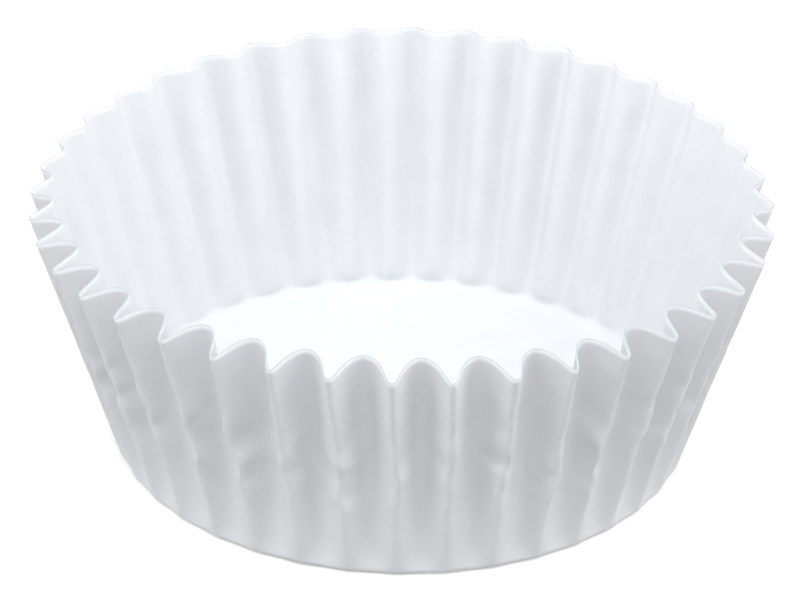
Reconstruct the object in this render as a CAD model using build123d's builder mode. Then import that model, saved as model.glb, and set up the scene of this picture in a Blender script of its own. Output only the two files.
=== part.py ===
"""Fluted paper cupcake liner: one flat round sheet of paper, pressed into a cup with a pleated wall.

Millimetres, +Z up. The origin is the centre of the underside of the flat base.
The wall leaves the round base corner as a plain circle and opens into flutes that deepen evenly up to
the rim. The sheet was cut as a circle, so every point of the rim is the same length of paper away from
the base corner: ridges lean further out than folds, and end lower.
"""

import os
from math import asin, atan2, cos, degrees, hypot, pi, sin, sqrt

from build123d import *

# Driving dimensions
base_diameter = 50.0  # across the base, where the planes of floor and wall meet
rim_diameter = 63.8  # across the ridge tips
wall_length = 23.6  # paper between base corner and rim, measured up the wall
flute_count = 40
flute_depth = 2.95  # ridge tip to fold tip, along the radius
ridge_radius = 0.55  # outer face of a ridge, at the rim
fold_radius = 0.75  # outer face of a fold, at the rim
corner_radius = 1.0  # outer face of the rounded corner between base and wall
paper = 0.1  # thickness of the sheet
trim_allowance = 0.6  # wall above the highest fold tip, before the edge is trimmed
trim_sweep = 120  # degrees of the trimming arc, from the floor's level over the upright and inwards

# The rim: every ridge and fold has the same length of paper
base_radius = base_diameter / 2
ridge_tip = rim_diameter / 2
fold_tip = ridge_tip - flute_depth
ridge_height = sqrt(wall_length**2 - (ridge_tip - base_radius) ** 2)
fold_height = sqrt(wall_length**2 - (fold_tip - base_radius) ** 2)
untrimmed_top = fold_height + trim_allowance

# The flutes: each is one pitch wide, in degrees, with its ridge in the middle
pitch = 360 / flute_count
half_pitch = pi / flute_count  # radians, from a ridge to the next fold

# The corner: tangent to the floor and to a wall that leans half way between ridge and fold
lean = atan2((ridge_tip + fold_tip) / 2 - base_radius, (ridge_height + fold_height) / 2)
floor_radius = base_radius - corner_radius * (1 - sin(lean)) / cos(lean)


def corner_end(inset):
    """Radius and height where the rounded corner ends and the flutes begin, on the face that lies an
    inset inside the outer one."""
    arc_radius = corner_radius - inset
    return floor_radius + arc_radius * cos(lean), corner_radius - arc_radius * sin(lean)


def top_radius(tip, tip_height):
    """Radius at the untrimmed top of a ridge or fold that runs straight from the corner to its tip."""
    start, start_height = corner_end(0)
    return start + (tip - start) * (untrimmed_top - start_height) / (tip_height - start_height)


def fluted_edges(inset):
    """One flute at the untrimmed top, in its own plane: a round ridge across the X axis, a straight
    flank, a round fold and the flank of the next ridge."""
    ridge_centre = top_radius(ridge_tip, ridge_height) - ridge_radius
    fold_centre = top_radius(fold_tip, fold_height) + fold_radius
    across = fold_centre * sin(half_pitch)
    inward = ridge_centre - fold_centre * cos(half_pitch)
    tangent_turn = asin((ridge_radius + fold_radius) / hypot(across, inward))
    ridge_sweep = degrees(atan2(inward, across) + tangent_turn)
    fold_sweep = ridge_sweep - pitch / 2
    with BuildLine() as flute:
        ridge = CenterArc((ridge_centre, 0), ridge_radius - inset, -ridge_sweep, 2 * ridge_sweep)
        fold = CenterArc(
            (fold_centre * cos(half_pitch), across),
            fold_radius + inset,
            180 + pitch / 2 + fold_sweep,
            -2 * fold_sweep,
        )
        Line(ridge @ 1, fold @ 0)
        Line(fold @ 1, (ridge @ 0).rotate(Axis.Z, pitch))
    return flute.edges().sort_by(Axis.Y)


def plain_edges(flute, radius):
    """The arcs of a plain circle that the edges of one flute grow from, one for each. A sketch would
    join them into a single circle, and the loft needs as many edges at its foot as at its top."""
    ends = [[degrees(atan2(end.Y, end.X)) for end in (edge @ 0, edge @ 1)] for edge in flute]
    return [CenterArc((0, 0), radius, first, last - first, mode=Mode.PRIVATE) for first, last in ends]


def full_turn(edges, height):
    """The closed section at a height, whose outline is one flute's edges repeated round the axis."""
    outline = [edge.rotate(Axis.Z, pitch * turn) for turn in range(flute_count) for edge in edges]
    return Face(Wire(outline)).moved(Location((0, 0, height)))


# The outside of the cup as a solid, less its inside, cut off where the sheet ends
with BuildPart() as liner:
    for inset, mode in ((0, Mode.ADD), (paper, Mode.SUBTRACT)):
        end_radius, end_height = corner_end(inset)
        with BuildSketch(Plane.XZ):
            with BuildLine():
                floor = Line((0, inset), (floor_radius, inset))
                corner = RadiusArc(floor @ 1, (end_radius, end_height), inset - corner_radius)
                Polyline(corner @ 1, (0, end_height), floor @ 0)
            make_face()
        revolve(axis=Axis.Z, mode=mode)
        flute = fluted_edges(inset)
        foot = full_turn(plain_edges(flute, end_radius), end_height)
        loft([foot, full_turn(flute, untrimmed_top)], ruled=True, mode=mode)
    with BuildSketch(Plane.XZ):
        with BuildLine():
            sheet_edge = CenterArc((base_radius, 0), wall_length, 0, trim_sweep)
            Polyline(sheet_edge @ 1, (0, (sheet_edge @ 1).Y), (0, 0), sheet_edge @ 0)
        make_face()
    revolve(axis=Axis.Z, mode=Mode.INTERSECT)

liner.part.label = "liner"
os.makedirs("parts", exist_ok=True)
export_step(liner.part, "parts/liner.step")
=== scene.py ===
"""Looks of a pleated paper cupcake liner.

One flat disc of bleached greaseproof paper is pressed into a cup: a floor, a rounded corner and a wall of
flutes. A Geometry Nodes tree lays the disc out in rows and columns and presses it: each point remembers
where it lay on the flat disc, for the paper's patterns, and moves to its place on the cup. A second pass
gives the paper its thickness. Metres throughout, +Z up, with the origin under the middle of the base.
"""

import logging
import math
from dataclasses import dataclass
from enum import Enum
from typing import Union

import bpy
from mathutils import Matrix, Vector


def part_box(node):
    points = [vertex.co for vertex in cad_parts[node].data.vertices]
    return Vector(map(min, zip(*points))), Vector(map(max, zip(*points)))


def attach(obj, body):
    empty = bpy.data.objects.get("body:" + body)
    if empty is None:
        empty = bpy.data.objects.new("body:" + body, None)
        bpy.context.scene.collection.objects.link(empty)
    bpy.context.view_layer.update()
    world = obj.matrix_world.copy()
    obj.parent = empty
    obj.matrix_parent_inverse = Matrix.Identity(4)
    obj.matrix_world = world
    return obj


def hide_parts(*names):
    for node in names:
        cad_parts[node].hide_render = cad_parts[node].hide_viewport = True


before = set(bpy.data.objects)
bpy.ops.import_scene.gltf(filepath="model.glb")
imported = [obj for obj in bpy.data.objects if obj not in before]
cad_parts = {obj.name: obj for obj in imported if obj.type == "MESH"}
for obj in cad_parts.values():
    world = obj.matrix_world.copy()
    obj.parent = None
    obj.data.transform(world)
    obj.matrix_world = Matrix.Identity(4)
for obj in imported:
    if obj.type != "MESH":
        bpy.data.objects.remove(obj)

LOG = logging.getLogger("cupcake_liner")
MM = 0.001
TURN = 2 * math.pi
UPRIGHT = math.pi / 2  # from level
DEGREE = math.radians(1.0)
FACTOR, COLOUR_A, COLOUR_B, MIXED = 0, 6, 7, 2  # a Mix node's sockets for colours, whose names repeat


class Op(Enum):
    """The sums that a Math node can do, as far as they are used here."""

    ADD = "ADD"
    SUBTRACT = "SUBTRACT"
    MULTIPLY = "MULTIPLY"
    DIVIDE = "DIVIDE"
    POWER = "POWER"
    MINIMUM = "MINIMUM"
    MAXIMUM = "MAXIMUM"
    SQRT = "SQRT"
    SINE = "SINE"
    COSINE = "COSINE"
    ARCSINE = "ARCSINE"
    EXPONENT = "EXPONENT"


class Noise(Enum):
    """The noises on the sheet. Each value is that noise's fixed seed, a place in its fourth dimension."""

    SIDEWAYS_CRUMPLE = 1.0
    CLOUDS = 2.0
    UNEVEN_FLUTES = 3.0
    LIFTED_FLOOR = 4.0
    STREAKS = 5.0
    GRAIN = 6.0
    RADIAL_CRUMPLE = 7.0
    NIPS = 8.0


def add_node(tree: bpy.types.NodeTree, kind: str, settings: dict, inputs: dict) -> bpy.types.Node:
    """Adds one node with its settings and links.

    Args:
        tree: the node tree that gets it.
        kind: Blender's name for the type of node.
        settings: the node's own properties, by name.
        inputs: for each input, by name or number, a Field or socket to link, or a constant.

    Returns:
        The new node.
    """
    node = tree.nodes.new(kind)
    for name, value in settings.items():
        setattr(node, name, value)
    for key, value in inputs.items():
        source = value.socket if isinstance(value, Field) else value
        if isinstance(source, bpy.types.NodeSocket):
            tree.links.new(source, node.inputs[key])
        else:
            node.inputs[key].default_value = source
    return node


def linear(hex_colour: str) -> tuple[float, float, float, float]:
    """Turns an sRGB colour into linear light, by the sRGB standard's own numbers.

    Args:
        hex_colour: six hexadecimal digits.

    Returns:
        Red, green, blue and an alpha of 1.
    """
    parts = [int(hex_colour[i : i + 2], 16) / 255 for i in (0, 2, 4)]
    light = [c / 12.92 if c <= 0.04045 else ((c + 0.055) / 1.055) ** 2.4 for c in parts]
    return (*light, 1.0)


Operand = Union["Field", float]


@dataclass(frozen=True)
class Field:
    """A quantity that varies from place to place. Sums on it add Math nodes to its tree."""

    tree: bpy.types.NodeTree
    socket: bpy.types.NodeSocket

    def sum(self, op: Op, *operands: Operand) -> "Field":
        """Adds one Math node, which works op out on the operands in their order, and gives its result."""
        node = add_node(self.tree, "ShaderNodeMath", {"operation": op.value}, dict(enumerate(operands)))
        return Field(self.tree, node.outputs[0])

    def __add__(self, other: Operand) -> "Field":
        """This plus other."""
        return self.sum(Op.ADD, self, other)

    def __sub__(self, other: Operand) -> "Field":
        """This minus other."""
        return self.sum(Op.SUBTRACT, self, other)

    def __rsub__(self, other: Operand) -> "Field":
        """Other minus this."""
        return self.sum(Op.SUBTRACT, other, self)

    def __mul__(self, other: Operand) -> "Field":
        """This times other."""
        return self.sum(Op.MULTIPLY, self, other)

    def __truediv__(self, other: Operand) -> "Field":
        """This over other."""
        return self.sum(Op.DIVIDE, self, other)

    def __pow__(self, other: Operand) -> "Field":
        """This to the power of other."""
        return self.sum(Op.POWER, self, other)

    def apply(self, op: Op) -> "Field":
        """A function of this one value, such as its sine."""
        return self.sum(op, self)

    def clamp(self) -> "Field":
        """This, held between 0 and 1."""
        return self.sum(Op.MINIMUM, self.sum(Op.MAXIMUM, self, 0.0), 1.0)

    def ramp(self, start: float, end: float) -> "Field":
        """A smooth step.

        Args:
            start: what this is where the step begins.
            end: what this is where the step is done, which may be less than start.

        Returns:
            0 from start back and 1 from end on.
        """
        settings = {"interpolation_type": "SMOOTHSTEP"}
        node = add_node(self.tree, "ShaderNodeMapRange", settings, {0: self, 1: start, 2: end})
        return Field(self.tree, node.outputs[0])

    def bell(self, centre: Operand, width: float) -> "Field":
        """A bell curve, 1 where this is at centre and nearly 0 at two widths from it."""
        off = (self - centre) / width
        return (off * off * -1.0).apply(Op.EXPONENT)


def vector(x: Field, y: Operand, z: Operand) -> Field:
    """Joins three values into a vector field."""
    node = add_node(x.tree, "ShaderNodeCombineXYZ", {}, {0: x, 1: y, 2: z})
    return Field(x.tree, node.outputs[0])


def ripple(place: Field, scale: float, noise: Noise, detail: float = 1.0) -> Field:
    """Smooth noise, the same on every run.

    Args:
        place: where it is read, as a vector field.
        scale: its bumps for each unit of place.
        noise: which of the noises it is.
        detail: how many finer layers it has.

    Returns:
        About -1 to 1, mostly within a half of 0.
    """
    inputs = {"Vector": place, "W": noise.value, "Scale": scale, "Detail": detail}
    node = add_node(place.tree, "ShaderNodeTexNoise", {"noise_dimensions": "4D"}, inputs)
    return Field(place.tree, node.outputs[0]) * 2.0 - 1.0


@dataclass(frozen=True)
class Swing:
    """One slow wave round the cup: how far the cup departs from a perfect one."""

    lobes: int
    amount: float
    peak_deg: float

    def over(self, bearing: Field) -> Field:
        """The wave's value at a bearing."""
        return (bearing * float(self.lobes) - math.radians(self.peak_deg)).apply(Op.COSINE) * self.amount


@dataclass(frozen=True)
class Dent:
    """A soft place in the wall where the paper gave, outwards where its depth is negative."""

    bearing_deg: float  # from the front, -Y, towards +X
    climb: float  # length of paper above the corner
    half_width: float
    half_height: float
    depth: float


@dataclass(frozen=True)
class Marks:
    """How strongly each mark on the paper shows, in its colour or in its relief."""

    clouds: float
    grain: float
    streaks: float
    nips: float
    crease: float


@dataclass(frozen=True)
class GreaseproofPaper:
    """Bleached greaseproof paper, calendered and pressed: a cool white, matt, with a little light
    passing through. It gives the eye a soft cloudy formation, a fine grain, faint streaks round the cup
    where the sheet slid over the press, and a few thin rings where it was nipped."""

    name: str = "bleached_greaseproof_paper"
    sheet_hex: str = "E3E4E6"
    # The darker tone of the clouds, grain, streaks and nips, and also the painted shade in the ridge-top
    # creases
    cloud_and_crease_shade_hex: str = "D9DADD"
    roughness: float = 0.62
    ior: float = 1.47  # cellulose
    light_reach: float = 0.04 * MM  # how far light goes on inside the sheet
    cloud_size: float = 3.2 * MM
    cloud_detail: float = 2.0
    grain_size: float = 0.2 * MM  # real fibres are 0.03 mm wide, too fine to show
    grain_detail: float = 2.0
    streak_length: float = 5.0 * MM
    streak_width: float = 0.16 * MM
    nip_reaches: tuple[float, ...] = (32.3 * MM, 33.1 * MM, 34.0 * MM)  # from the sheet's middle
    nip_width: float = 0.12 * MM
    nip_breaks: float = 1.5  # how often a ring fades out on its way round
    nip_window: tuple[float, float] = (-0.1, 0.3)  # of the noise that fades it
    colours: Marks = Marks(clouds=0.4, grain=0.3, streaks=0.2, nips=0.35, crease=0.5)  # towards cloud_and_crease_shade_hex; the crease share darkens the grooves along the ridge tops, which is painted shade
    plain_tone: float = 0.4  # where there is no mark, from sheet_hex towards cloud_and_crease_shade_hex
    reliefs: Marks = Marks(clouds=0.4, grain=0.12, streaks=0.2, nips=0.8, crease=-2.0)  # shares of relief
    relief: float = 0.006 * MM
    edge_shade_hex: str = "C0C3C8"  # painted shade: the cut edge is painted a darker grey than the sheet
    edge_shade_depth: float = 0.03 * MM  # how far in from the edge the painted shade reaches

    def material(self, full_reach: float) -> bpy.types.Material:
        """Builds the material.

        Args:
            full_reach: from the flat sheet's middle to its cut edge.

        Returns:
            A material whose patterns lie on the flat sheet, through the piece's own attribute.
        """
        paper = bpy.data.materials.new(self.name)
        paper.use_nodes = True
        tree = paper.node_tree
        tree.nodes.clear()
        flat = add_node(tree, "ShaderNodeAttribute", {"attribute_name": PressedLiner.SHEET}, {})
        sheet = Field(tree, flat.outputs["Vector"])
        crease = add_node(tree, "ShaderNodeAttribute", {"attribute_name": PressedLiner.CREASE}, {})
        distance = add_node(tree, "ShaderNodeVectorMath", {"operation": "LENGTH"}, {0: sheet})
        reach = Field(tree, distance.outputs["Value"])
        toward = add_node(tree, "ShaderNodeVectorMath", {"operation": "NORMALIZE"}, {0: sheet})
        heading = Field(tree, toward.outputs[0])
        marks = (
            ripple(sheet, 1 / self.cloud_size, Noise.CLOUDS, self.cloud_detail),
            ripple(sheet, 1 / self.grain_size, Noise.GRAIN, self.grain_detail),
            self.streaks(reach, heading),
            self.nips(reach, heading),
            Field(tree, crease.outputs["Fac"]),
        )
        # The crease mark darkens the grooves along the front ridge tops in colour. This is painted shade,
        # laid on top of their real relief.
        tone = (self.marked(marks, self.colours) + self.plain_tone).clamp()
        colour = add_node(
            tree,
            "ShaderNodeMix",
            {"data_type": "RGBA"},
            {FACTOR: tone, COLOUR_A: linear(self.sheet_hex), COLOUR_B: linear(self.cloud_and_crease_shade_hex)},
        )
        # The rim's cut edge is painted grey, as painted shade along the edge.
        cut = reach.ramp(full_reach - 2 * self.edge_shade_depth, full_reach - self.edge_shade_depth)
        edge_shaded = add_node(
            tree,
            "ShaderNodeMix",
            {"data_type": "RGBA"},
            {FACTOR: cut, COLOUR_A: colour.outputs[MIXED], COLOUR_B: linear(self.edge_shade_hex)},
        )
        height = self.marked(marks, self.reliefs)
        bump = add_node(
            tree,
            "ShaderNodeBump",
            {},
            {"Distance": self.relief, "Height": height, "Strength": 1.0},
        )
        skin = add_node(
            tree,
            "ShaderNodeBsdfPrincipled",
            {"subsurface_method": "RANDOM_WALK"},
            {
                "Base Color": edge_shaded.outputs[MIXED],
                "Roughness": self.roughness,
                "IOR": self.ior,
                "Subsurface Weight": 1.0,
                "Subsurface Radius": (1.0, 1.0, 1.0),  # all colours alike
                "Subsurface Scale": self.light_reach,
                "Normal": bump.outputs[0],
            },
        )
        add_node(tree, "ShaderNodeOutputMaterial", {}, {"Surface": skin.outputs[0]})
        return paper

    def marked(self, marks: tuple[Field, ...], shares: Marks) -> Field:
        """Adds the marks up.

        Args:
            marks: the clouds, grain, streaks, nips and crease at each point.
            shares: how strongly each of them counts.

        Returns:
            Their sum.
        """
        clouds, grain, streaks, nips, crease = marks
        sheet = clouds * shares.clouds + grain * shares.grain + streaks * shares.streaks
        return sheet + nips * shares.nips + crease * shares.crease

    def streaks(self, reach: Field, heading: Field) -> Field:
        """The streaks that the press rubbed round the sheet.

        Args:
            reach: how far a point is from the sheet's middle.
            heading: the unit vector from the middle towards it.

        Returns:
            About -1 to 1, stretched round the sheet.
        """
        per_radian = self.nip_reaches[0] / self.streak_length
        spread = add_node(
            reach.tree,
            "ShaderNodeVectorMath",
            {"operation": "SCALE"},
            {0: heading, "Scale": per_radian},
        )
        lifted = add_node(reach.tree, "ShaderNodeCombineXYZ", {}, {"Z": reach / self.streak_width})
        along = add_node(
            reach.tree,
            "ShaderNodeVectorMath",
            {"operation": "ADD"},
            {0: spread.outputs[0], 1: lifted.outputs[0]},
        )
        return ripple(Field(reach.tree, along.outputs[0]), 1.0, Noise.STREAKS)

    def nips(self, reach: Field, heading: Field) -> Field:
        """The thin rings where the press nipped the sheet.

        Args:
            reach: how far a point is from the sheet's middle.
            heading: the unit vector from the middle towards it.

        Returns:
            0 to 1, in rings that come and go.
        """
        first, *others = (reach.bell(nip_reach, self.nip_width) for nip_reach in self.nip_reaches)
        rings = sum(others, first)
        return rings * ripple(heading, self.nip_breaks, Noise.NIPS).ramp(*self.nip_window)


@dataclass(frozen=True)
class Corner:
    """The rounded corner, tangent to the floor and to a wall half way between ridge and fold."""

    arc: Field  # the angle that it turns through, from level up to that wall
    flat_radius: Field  # where it leaves the floor
    foot_radius: Field  # where it meets the wall
    foot_height: Field


@dataclass(frozen=True)
class CupSizes:
    """The cup's sizes, as the press tree's inputs."""

    base: Field  # radius of the base, at the sharp corner that the rounded one stands for
    rim: Field  # radius of the rim, at the ridges' tips
    length: Field  # from the sharp corner to the rim
    bend: Field  # radius of the rounded corner
    depth: Field  # of a fold at the rim
    flutes: Field  # how many

    def corner(self) -> Corner:
        """Fits the rounded corner.

        Returns:
            The corner's angle and where it starts and ends.
        """
        middle = (self.rim - self.depth * 0.5 - self.base) / self.length
        lean = middle.apply(Op.ARCSINE)
        flat_radius = self.base - self.bend * ((1.0 - middle) / lean.apply(Op.COSINE))
        foot_radius = flat_radius + self.bend * lean.apply(Op.COSINE)
        return Corner(UPRIGHT - lean, flat_radius, foot_radius, self.bend * (1.0 - middle))


@dataclass(frozen=True)
class Layout:
    """The points of the flat sheet, as fields."""

    turn: Field  # from the back, 0 to one whole turn
    bearing: Field  # the same from the front, -Y, towards +X
    floor: Field  # 0 at the middle and 1 from the floor's edge outwards
    corner: Field  # 0 up to the floor's edge and 1 from the corner's end outwards
    wall: Field  # 0 up to the corner's end and 1 at the rim
    climb: Field  # length of paper above the corner
    across: Field  # the sine of the place in a flute
    along: Field  # its cosine: 1 on a ridge and -1 in a fold
    twice_along: Field  # the cosine of twice that place
    ahead: Field  # the cosine of the bearing: 1 at the front, -1 at the back
    front: Field  # 1 at the front, 0 at the sides and back
    rear: Field  # 1 at the back, 0 at the sides and front
    uneven: Field  # about -1 to 1, and differs from flute to flute


@dataclass
class PressedLiner:
    """The liner: a disc of paper, pressed. The rim's reach comes from the CAD piece that it stands for."""

    node: str = "liner"
    name: str = "pressed_liner"
    base_radius: float = 25.0 * MM
    wall_length: float = 23.6 * MM
    corner_radius: float = 1.0 * MM
    flutes: int = 40
    flute_depth: float = 3.0 * MM
    paper: float = 0.1 * MM
    rim_spread: float = 0.05 * MM  # the rim has opened a little since it was pressed

    # The sheet's faces
    columns_per_flute: int = 20
    floor_rows: int = 5
    corner_rows: int = 6
    wall_rows: int = 42
    weld: float = 0.0005 * MM  # closes the seam and the middle

    # Where the cup counts as front or back, as cosines of the bearing
    front_window: tuple[float, float] = (-0.15, 0.42)
    rear_window: tuple[float, float] = (-0.2, -0.75)
    far_back_window: tuple[float, float] = (-0.5, -1.0)

    # The flutes, as they open from the corner to the rim by a power of the share of the wall
    growth: float = 0.56  # fast at the corner and slower towards the rim
    back_growth: float = 0.3  # and faster still at the back
    head_start: float = 0.014  # share of the wall by which they are open already at the corner
    side_share: float = 0.4  # of the flute depth, where the cup was stretched at its sides and back
    back_share: float = 0.3  # more of it at the very back
    uneven_share: float = 0.08  # of the flute depth, from flute to flute

    # The flutes' places and shape
    first_ridge_deg: float = -1.03  # from the front, -Y, towards +X
    back_turn_deg: float = 0.75  # by which the flutes at the back are turned on
    uneven_deg: float = 0.5  # by which the spacing of the ridges differs at the rim
    uneven_flutes: float = 1.3  # flutes for each bump of the unevenness
    ridge_skew: float = 0.26  # narrows the front ridges and widens the folds between them
    rim_skew: float = 0.2  # and more so at the rim
    rim_skew_power: float = 4.0
    back_skew: float = -0.1  # softens the ridges at the back
    back_peak: float = 0.14  # a second, finer wave there, which flattens the folds
    rim_round: float = 0.22  # blunts the tips of the ridges at the rim
    rim_round_power: float = 5.0

    # The front ridges were pinched along their tops
    crest_groove: float = 0.085 * MM
    crest_power: float = 20.0  # the larger, the thinner the groove
    crest_window: tuple[float, float] = (0.05, 0.5)  # shares of the wall over which it starts
    crest_fade: float = 0.6  # how much shallower it is at the rim
    crest_fade_power: float = 8.0

    # Bead-like crumples on the front ridges, half way up
    crumple_size: float = 2.2 * MM
    crumple_sideways: float = 0.95 * MM
    crumple_outward: float = 0.4 * MM
    crumple_start: tuple[float, float] = (4.5 * MM, 9.0 * MM)  # lengths of paper above the corner
    crumple_end: tuple[float, float] = (13.0 * MM, 19.0 * MM)
    crumple_rim_share: float = 0.15  # what is left of them at the rim
    crumple_window: tuple[float, float] = (0.2, 0.6)  # cosines of the bearing
    crumple_back_share: float = 0.1  # what there is of them away from the front
    crumple_fold_share: float = 0.25  # and in the folds

    # The floor
    lift: float = 0.3 * MM  # the floor's middle stands off the table
    lift_swing: float = 0.15 * MM  # by which the lift differs from place to place
    lift_size: float = 14.0 * MM  # of those places
    lift_end: float = 0.97  # share of the floor, beyond which it lies flat
    pleat_mark: float = 0.05 * MM  # the flutes' ends show at the floor's edge
    pleat_window: tuple[float, float] = (20.5 * MM, 24.0 * MM)  # from the sheet's middle

    finish: GreaseproofPaper = GreaseproofPaper()

    SHEET = "sheet"
    CREASE = "crease"
    SIZES = ("Base Radius", "Rim Radius", "Wall Length", "Corner Radius", "Flute Depth", "Flutes")
    FINISH = "Paper Finish"

    drift = (Swing(1, 0.58, 225.0), Swing(2, 0.3, 175.0), Swing(3, 0.63, 56.0))  # degrees round the cup
    twist = Swing(1, 1.8, 45.0)  # degrees, at the foot of the wall
    out_of_round = (Swing(2, 0.16 * MM, 2.0), Swing(3, 0.51 * MM, 162.0))  # outwards, at the rim
    dents = (
        Dent(-62.0, 15.5 * MM, 2.2 * MM, 1.6 * MM, -0.10 * MM),
        Dent(-52.0, 11.0 * MM, 2.6 * MM, 1.5 * MM, -0.11 * MM),
        Dent(-44.0, 14.0 * MM, 2.4 * MM, 1.6 * MM, 0.06 * MM),
        Dent(-33.0, 9.0 * MM, 2.0 * MM, 1.6 * MM, 0.06 * MM),
        Dent(46.0, 15.0 * MM, 2.2 * MM, 1.2 * MM, 0.13 * MM),
        Dent(55.0, 12.0 * MM, 2.4 * MM, 1.3 * MM, 0.14 * MM),
        Dent(63.0, 16.5 * MM, 2.2 * MM, 1.2 * MM, -0.11 * MM),
        Dent(40.0, 9.5 * MM, 2.2 * MM, 1.4 * MM, 0.11 * MM),
    )

    @property
    def columns(self) -> int:
        """Columns of faces all the way round."""
        return self.flutes * self.columns_per_flute

    @property
    def rows(self) -> int:
        """Rows of faces from the centre of the floor to the rim."""
        return self.floor_rows + self.corner_rows + self.wall_rows

    def full_reach(self, rim: float) -> float:
        """How far the flat sheet reaches, as the press tree lays it out.

        Args:
            rim: the radius of the pressed cup at the tips of its ridges.

        Returns:
            From the sheet's middle to its cut edge.
        """
        middle = (rim - self.flute_depth * 0.5 - self.base_radius) / self.wall_length
        lean = math.asin(middle)
        flat_radius = self.base_radius - self.corner_radius * (1.0 - middle) / math.cos(lean)
        return flat_radius + self.corner_radius * (UPRIGHT - lean) + self.wall_length

    def press_tree(self) -> bpy.types.NodeTree:
        """Builds the Geometry Nodes tree that lays out the flat sheet and presses it.

        Returns:
            The tree, with the cup's sizes as its inputs.
        """
        tree = bpy.data.node_groups.new("press_sheet_into_cup", "GeometryNodeTree")
        for size in self.SIZES:
            tree.interface.new_socket(size, in_out="INPUT", socket_type="NodeSocketFloat")
        tree.interface.new_socket(self.FINISH, in_out="INPUT", socket_type="NodeSocketMaterial")
        tree.interface.new_socket("Cup", in_out="OUTPUT", socket_type="NodeSocketGeometry")
        given = add_node(tree, "NodeGroupInput", {}, {})
        cup = CupSizes(*(Field(tree, given.outputs[size]) for size in self.SIZES))
        grid = add_node(
            tree,
            "GeometryNodeMeshGrid",
            {},
            {"Size X": 1.0, "Size Y": 1.0, "Vertices X": self.columns + 1, "Vertices Y": self.rows + 1},
        )
        lay = self.lay_out(cup)
        sheet, crease, place = self.press(cup, lay)
        kept = add_node(
            tree,
            "GeometryNodeStoreNamedAttribute",
            {"data_type": "FLOAT_VECTOR", "domain": "POINT"},
            {"Geometry": grid.outputs["Mesh"], "Name": self.SHEET, "Value": sheet},
        )
        marked = add_node(
            tree,
            "GeometryNodeStoreNamedAttribute",
            {"data_type": "FLOAT", "domain": "POINT"},
            {"Geometry": kept.outputs[0], "Name": self.CREASE, "Value": crease},
        )
        pressed = add_node(
            tree,
            "GeometryNodeSetPosition",
            {},
            {"Geometry": marked.outputs[0], "Position": place},
        )
        joined = add_node(
            tree,
            "GeometryNodeMergeByDistance",
            {},
            {0: pressed.outputs[0], "Distance": self.weld},
        )
        smooth = add_node(
            tree,
            "GeometryNodeSetShadeSmooth",
            {},
            {0: joined.outputs[0], "Shade Smooth": True},
        )
        real = add_node(tree, "GeometryNodeRealizeInstances", {}, {0: smooth.outputs[0]})
        dressed = add_node(
            tree,
            "GeometryNodeSetMaterial",
            {},
            {"Geometry": real.outputs[0], "Material": given.outputs[self.FINISH]},
        )
        add_node(tree, "NodeGroupOutput", {}, {"Cup": dressed.outputs[0]})
        return tree

    def lay_out(self, cup: CupSizes) -> Layout:
        """Reads each point's place on the flat sheet off the unit grid.

        Args:
            cup: the cup's sizes.

        Returns:
            The layout of the sheet, in columns round the cup and rows from its middle to its rim.
        """
        tree = cup.base.tree
        spot = add_node(tree, "GeometryNodeInputPosition", {}, {})
        parted = add_node(tree, "ShaderNodeSeparateXYZ", {}, {0: spot.outputs[0]})
        turn = (Field(tree, parted.outputs[0]) + 0.5) * TURN
        row = (Field(tree, parted.outputs[1]) + 0.5) * float(self.rows)
        wall = ((row - float(self.floor_rows + self.corner_rows)) / float(self.wall_rows)).clamp()
        bearing = turn - math.pi
        phase = bearing * cup.flutes
        ahead = bearing.apply(Op.COSINE)
        around = vector(turn.apply(Op.COSINE), turn.apply(Op.SINE), 0.0)
        bumps = self.flutes / TURN / self.uneven_flutes
        return Layout(
            turn=turn,
            bearing=bearing,
            floor=(row / float(self.floor_rows)).clamp(),
            corner=((row - float(self.floor_rows)) / float(self.corner_rows)).clamp(),
            wall=wall,
            climb=wall * cup.length,
            across=phase.apply(Op.SINE),
            along=phase.apply(Op.COSINE),
            twice_along=(phase * 2.0).apply(Op.COSINE),
            ahead=ahead,
            front=ahead.ramp(*self.front_window),
            rear=ahead.ramp(*self.rear_window),
            uneven=ripple(around, bumps, Noise.UNEVEN_FLUTES, detail=0.0),
        )

    def crumples(self, cup: CupSizes, lay: Layout) -> tuple[Field, Field]:
        """How the paper gave: crumples on the ridges, and the dents.

        Args:
            cup: the cup's sizes.
            lay: the layout of the sheet.

        Returns:
            How far each point has moved sideways, round the cup, and outwards.
        """
        turn, climb = lay.turn, lay.climb
        ring = vector(turn.apply(Op.COSINE) * cup.base, turn.apply(Op.SINE) * cup.base, climb)
        band = climb.ramp(*self.crumple_start) * (1.0 - climb.ramp(*self.crumple_end))
        upright = band * (1.0 - self.crumple_rim_share) + lay.wall * self.crumple_rim_share
        at_front = lay.ahead.ramp(*self.crumple_window) * (1.0 - self.crumple_back_share)
        crumpled = upright * (at_front + self.crumple_back_share)
        on_ridge = (lay.along * 0.5 + 0.5) ** 2.0
        held = on_ridge * (1.0 - self.crumple_fold_share) + self.crumple_fold_share
        scale = 1 / self.crumple_size
        sideways = ripple(ring, scale, Noise.SIDEWAYS_CRUMPLE) * crumpled * held
        beads = ripple(ring, scale, Noise.RADIAL_CRUMPLE) * crumpled * on_ridge
        outward = beads * self.crumple_outward
        for dent in self.dents:
            off = (turn - math.radians(dent.bearing_deg) - math.pi) * cup.base
            spread = off.bell(0.0, dent.half_width) * climb.bell(dent.climb, dent.half_height)
            outward = outward - spread * dent.depth
        return sideways * self.crumple_sideways, outward

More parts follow.
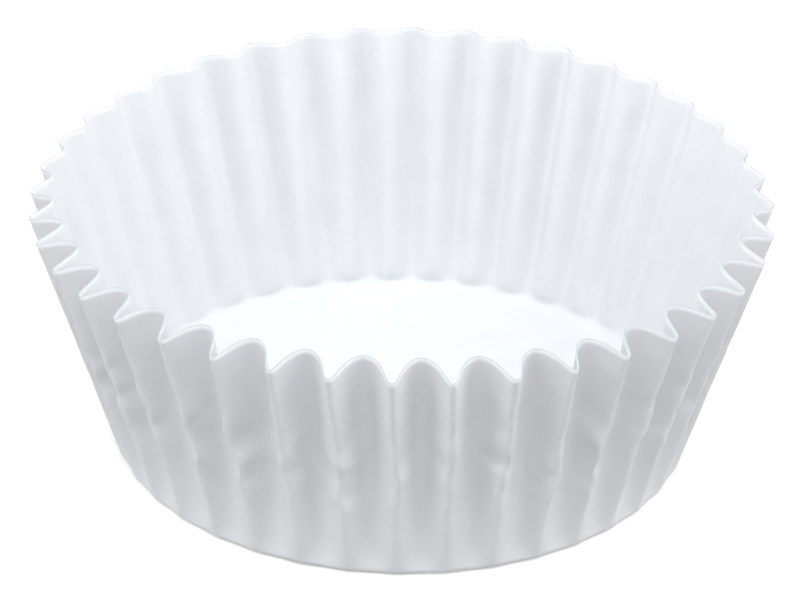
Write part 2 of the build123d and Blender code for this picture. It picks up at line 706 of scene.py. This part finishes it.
    def pressed_bearing(self, cup: CupSizes, lay: Layout, sideways: Field) -> Field:
        """The bearing that each point is pressed to.

        Args:
            cup: the cup's sizes.
            lay: the layout of the sheet.
            sideways: how far the crumples have moved it round the cup.

        Returns:
            The angle from the front, towards +X.
        """
        at_rim = lay.wall**self.rim_skew_power * self.rim_skew
        sharpness = lay.front * (at_rim + self.ridge_skew - self.back_skew) + self.back_skew
        skew = sharpness * lay.across / cup.flutes * lay.corner
        turned_on = (1.0 - lay.front) * math.radians(self.back_turn_deg)
        first = turned_on + math.radians(self.first_ridge_deg)
        angle = lay.bearing - skew + first + lay.uneven * math.radians(self.uneven_deg) * lay.wall
        for swing in self.drift:
            angle = angle + swing.over(lay.bearing) * DEGREE
        return angle + sideways / cup.base + self.twist.over(lay.bearing) * (1.0 - lay.wall) * DEGREE

    def flute(self, cup: CupSizes, lay: Layout) -> tuple[Field, Field, Field]:
        """The flutes: a wave with narrow ridges and wide folds, deeper with every millimetre of the wall.

        Args:
            cup: the cup's sizes.
            lay: the layout of the sheet.

        Returns:
            The depth of a full fold at the rim, the share of it that the wave goes in, and the share to
            which the flutes are open.
        """
        growth = lay.rear * (self.back_growth - self.growth) + self.growth
        opened = ((lay.wall + self.head_start) / (1 + self.head_start)) ** growth
        far_back = lay.ahead.ramp(*self.far_back_window) * self.back_share
        even_share = lay.front * (1.0 - self.side_share) + far_back + self.side_share
        full_depth = cup.depth * (even_share + lay.uneven * self.uneven_share)
        blunt = lay.wall**self.rim_round_power * lay.front * self.rim_round
        wave = lay.along * (blunt * lay.across * lay.across * (lay.along + 1.0) + 1.0)
        flat_fold = lay.rear * self.back_peak * (1.0 - lay.twice_along)
        inward = (1.0 - wave + flat_fold) * 0.5
        return full_depth, inward, opened

    def crease(self, lay: Layout, opened: Field) -> Field:
        """The groove along the top of each ridge at the front.

        Args:
            lay: the layout of the sheet.
            opened: the share to which the flutes are open.

        Returns:
            0 to 1, at the bottom of the groove.
        """
        thin = lay.along.clamp() ** self.crest_power * opened * lay.front
        fade = 1.0 - lay.wall**self.crest_fade_power * self.crest_fade
        return thin * lay.wall.ramp(*self.crest_window) * fade

    def floor_height(self, lay: Layout, sheet: Field, reach: Field, inward: Field) -> Field:
        """How far the floor stands off the table.

        Args:
            lay: the layout of the sheet.
            sheet: the places on the flat sheet.
            reach: how far they are from its middle.
            inward: the share of a fold's depth that the flutes go in.

        Returns:
            The lift in the middle, and the ends of the flutes at the edge.
        """
        buckle = ripple(sheet, 1 / self.lift_size, Noise.LIFTED_FLOOR) * self.lift_swing + self.lift
        pleats = reach.ramp(*self.pleat_window) * inward * (1.0 - lay.corner) * self.pleat_mark
        return (1.0 - lay.floor.ramp(0.0, self.lift_end)) * buckle + pleats

    def press(self, cup: CupSizes, lay: Layout) -> tuple[Field, Field, Field]:
        """Moves each point of the sheet to its place on the cup.

        Args:
            cup: the cup's sizes.
            lay: the layout of the sheet.

        Returns:
            The point's place on the flat sheet, how deep it is in a ridge's crease, from 0 to 1, and its
            place on the cup.
        """
        corner, turn = cup.corner(), lay.turn
        reach = corner.flat_radius * lay.floor + cup.bend * corner.arc * lay.corner + lay.climb
        sheet = vector(reach * turn.apply(Op.COSINE), reach * turn.apply(Op.SINE), 0.0)
        depth, inward, opened = self.flute(cup, lay)
        crease = self.crease(lay, opened)
        fold = (depth * opened * inward + crease * self.crest_groove) * lay.corner * lay.corner
        sideways, outward = self.crumples(cup, lay)
        angle = self.pressed_bearing(cup, lay, sideways)

        # The ridges are straight lines from the corner's end to the rim
        sweep = lay.corner * corner.arc
        smooth_radius = corner.flat_radius * lay.floor + cup.bend * sweep.apply(Op.SINE)
        radius = smooth_radius + (cup.rim - corner.foot_radius) * lay.wall - fold + outward
        for swing in self.out_of_round:
            radius = radius + swing.over(lay.bearing) * lay.wall

        # The rim is one length of paper from the base's corner, all the way round
        tip_off = cup.rim - cup.base - depth * inward
        tip_height = (cup.length * cup.length - tip_off * tip_off).apply(Op.SQRT)
        up_corner = cup.bend * (1.0 - sweep.apply(Op.COSINE))
        up_wall = (tip_height - corner.foot_height) * lay.wall
        height = up_corner + up_wall + self.floor_height(lay, sheet, reach, inward)
        place = vector(radius * angle.apply(Op.SINE), radius * angle.apply(Op.COSINE) * -1.0, height)
        return sheet, crease, place

    def build(self) -> bpy.types.Object:
        """Presses the sheet and gives it its thickness.

        Returns:
            The liner as one plain mesh.
        """
        tree = self.press_tree()
        piece = bpy.data.objects.new(self.name, bpy.data.meshes.new(self.name))
        bpy.context.scene.collection.objects.link(piece)
        press = piece.modifiers.new("press", "NODES")
        press.node_group = tree
        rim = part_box(self.node)[1][0] + self.rim_spread
        cup = (self.base_radius, rim, self.wall_length, self.corner_radius, self.flute_depth)
        values = dict(zip(self.SIZES, (*cup, float(self.flutes))))
        values[self.FINISH] = self.finish.material(self.full_reach(rim))
        for socket in tree.interface.items_tree:
            if socket.in_out == "INPUT":
                press[socket.identifier] = values[socket.name]
        body = piece.modifiers.new("thickness", "SOLIDIFY")
        body.thickness = self.paper
        body.offset = -1.0  # inwards, so that the base stays on the table
        body.use_even_offset = True
        seen = piece.evaluated_get(bpy.context.evaluated_depsgraph_get())
        shell = bpy.data.meshes.new_from_object(seen)
        piece.modifiers.clear()
        piece.data = shell
        shell.name = self.name
        return piece

    def dress(self, piece: bpy.types.Object) -> None:
        """Ties the piece to the CAD body and hides the CAD liner that it stands for.

        Args:
            piece: the pressed liner.
        """
        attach(piece, "root")
        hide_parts(self.node)


def direction(azimuth_deg: float, elevation_deg: float) -> Vector:
    """The unit vector to a place round the object.

    Args:
        azimuth_deg: 0 is the front, -Y, and 90 the right, +X.
        elevation_deg: above the horizon.

    Returns:
        The direction, away from the object.
    """
    azimuth, elevation = math.radians(azimuth_deg), math.radians(elevation_deg)
    level = math.cos(elevation)
    return Vector((math.sin(azimuth) * level, -math.cos(azimuth) * level, math.sin(elevation)))


@dataclass(frozen=True)
class Softbox:
    """A square soft light that points at the cup."""

    name: str
    azimuth_deg: float
    elevation_deg: float
    side: float
    power: float
    tint_hex: str
    distance: float = 1.0

    def place(self, target: Vector) -> bpy.types.Object:
        """Adds the light.

        Args:
            target: what it points at.

        Returns:
            The light's object.
        """
        data = bpy.data.lights.new(self.name, "AREA")
        data.shape = "SQUARE"
        data.size = self.side
        data.energy = self.power
        data.color = linear(self.tint_hex)[:3]
        light = bpy.data.objects.new(self.name, data)
        away = direction(self.azimuth_deg, self.elevation_deg)
        light.location = target + away * self.distance
        light.rotation_euler = away.to_track_quat("Z", "Y").to_euler()
        bpy.context.scene.collection.objects.link(light)
        return light


@dataclass
class Studio:
    """A white sweep, an even sky with softboxes all round, and the camera."""

    floor_half: float = 3.0
    floor_hex: str = "F4F5F6"
    floor_roughness: float = 0.9
    floor_glow: float = 0.2  # keeps the sweep white round the cup
    sky_hex: str = "FFFFFF"
    sky_strength: float = 0.71
    ground_strength: float = 0.44  # what comes up from below the cup
    horizon: tuple[float, float] = (-0.05, 0.05)  # heights on a unit ball, where sky meets ground
    camera_distance: float = 403.3 * MM
    camera_elevation_deg: float = 29.67
    camera_roll_deg: float = 1.06
    camera_clip: float = 10.0 * MM
    lens: float = 210.0
    aim: tuple[float, float, float] = (-0.2 * MM, -0.55 * MM, 12.54 * MM)
    lit_place: tuple[float, float, float] = (0.0, 0.0, 10.0 * MM)
    lights: tuple[Softbox, ...] = (
        Softbox("front_softbox", 0.0, 60.0, 0.6, 4.4, "F9FDFF"),
        Softbox("high_left_softbox", -60.0, 50.0, 0.5, 2.1, "F9FDFF"),
        Softbox("high_right_softbox", 60.0, 50.0, 0.5, 1.6, "F9FDFF"),
        Softbox("right_softbox", 90.0, 35.0, 0.6, 1.3, "F9FDFF"),
        Softbox("back_softbox", 180.0, 25.0, 0.6, 1.2, "FFFFFF"),
        Softbox("low_left_softbox", -65.0, 8.0, 0.4, 1.4, "FCF9FF"),
        Softbox("low_right_softbox", 65.0, 8.0, 0.4, 1.15, "FCF9FF"),
    )

    def floor(self) -> bpy.types.Object:
        """Lays the white sweep that the cup stands on.

        Returns:
            The sweep's object.
        """
        half = self.floor_half
        mesh = bpy.data.meshes.new("studio_floor")
        corners = [(-half, -half, 0.0), (half, -half, 0.0), (half, half, 0.0), (-half, half, 0.0)]
        mesh.from_pydata(corners, [], [(0, 1, 2, 3)])
        mesh.materials.append(self.sweep())
        floor = bpy.data.objects.new("studio_floor", mesh)
        floor.visible_diffuse = False  # the cup is lit from below by the world, not by the sweep
        floor.visible_shadow = False
        bpy.context.scene.collection.objects.link(floor)
        return floor

    def sweep(self) -> bpy.types.Material:
        """Makes the sweep's matt white card, which glows a little so that it shows as plain white.

        Returns:
            The material.
        """
        sweep = bpy.data.materials.new("white_studio_sweep")
        sweep.use_nodes = True
        shader = sweep.node_tree.nodes["Principled BSDF"]
        shader.inputs["Base Color"].default_value = linear(self.floor_hex)
        shader.inputs["Roughness"].default_value = self.floor_roughness
        shader.inputs["Emission Color"].default_value = linear(self.floor_hex)
        shader.inputs["Emission Strength"].default_value = self.floor_glow
        return sweep

    def light(self) -> None:
        """Lights the cup: an even sky, a dimmer ground and the softboxes."""
        world = bpy.data.worlds.new("studio")
        world.use_nodes = True
        sky = world.node_tree.nodes["Background"]
        sky.inputs["Color"].default_value = linear(self.sky_hex)
        facing = add_node(world.node_tree, "ShaderNodeTexCoord", {}, {})
        parted = add_node(world.node_tree, "ShaderNodeSeparateXYZ", {}, {0: facing.outputs["Generated"]})
        above = Field(world.node_tree, parted.outputs[2]).ramp(*self.horizon)
        strength = above * (self.sky_strength - self.ground_strength) + self.ground_strength
        world.node_tree.links.new(strength.socket, sky.inputs["Strength"])
        bpy.context.scene.world = world
        for softbox in self.lights:
            softbox.place(Vector(self.lit_place))

    def camera(self) -> bpy.types.Object:
        """Sets up the camera, a little above the rim and far away.

        Returns:
            The camera's object, which is made the scene's own.
        """
        data = bpy.data.cameras.new("camera")
        data.lens = self.lens
        data.clip_start = self.camera_clip
        camera = bpy.data.objects.new("camera", data)
        away = direction(0.0, self.camera_elevation_deg)
        camera.location = Vector(self.aim) + away * self.camera_distance
        camera.rotation_euler = away.to_track_quat("Z", "Y").to_euler()
        camera.rotation_euler.rotate_axis("Z", math.radians(self.camera_roll_deg))
        bpy.context.scene.collection.objects.link(camera)
        bpy.context.scene.camera = camera
        return camera


def main() -> None:
    """Builds the liner and the studio round it, and reports each piece."""
    logging.basicConfig(level=logging.INFO, format="%(name)s: %(message)s")
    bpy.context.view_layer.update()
    liner = PressedLiner()
    piece = liner.build()
    liner.dress(piece)
    LOG.info("%s: %d faces", piece.name, len(piece.data.polygons))
    studio = Studio()
    LOG.info("%s laid", studio.floor().name)
    studio.light()
    LOG.info("%s placed", studio.camera().name)
    bpy.context.scene.view_settings.view_transform = "Standard"  # white card shows as white


if __name__ == "__main__":
    main()
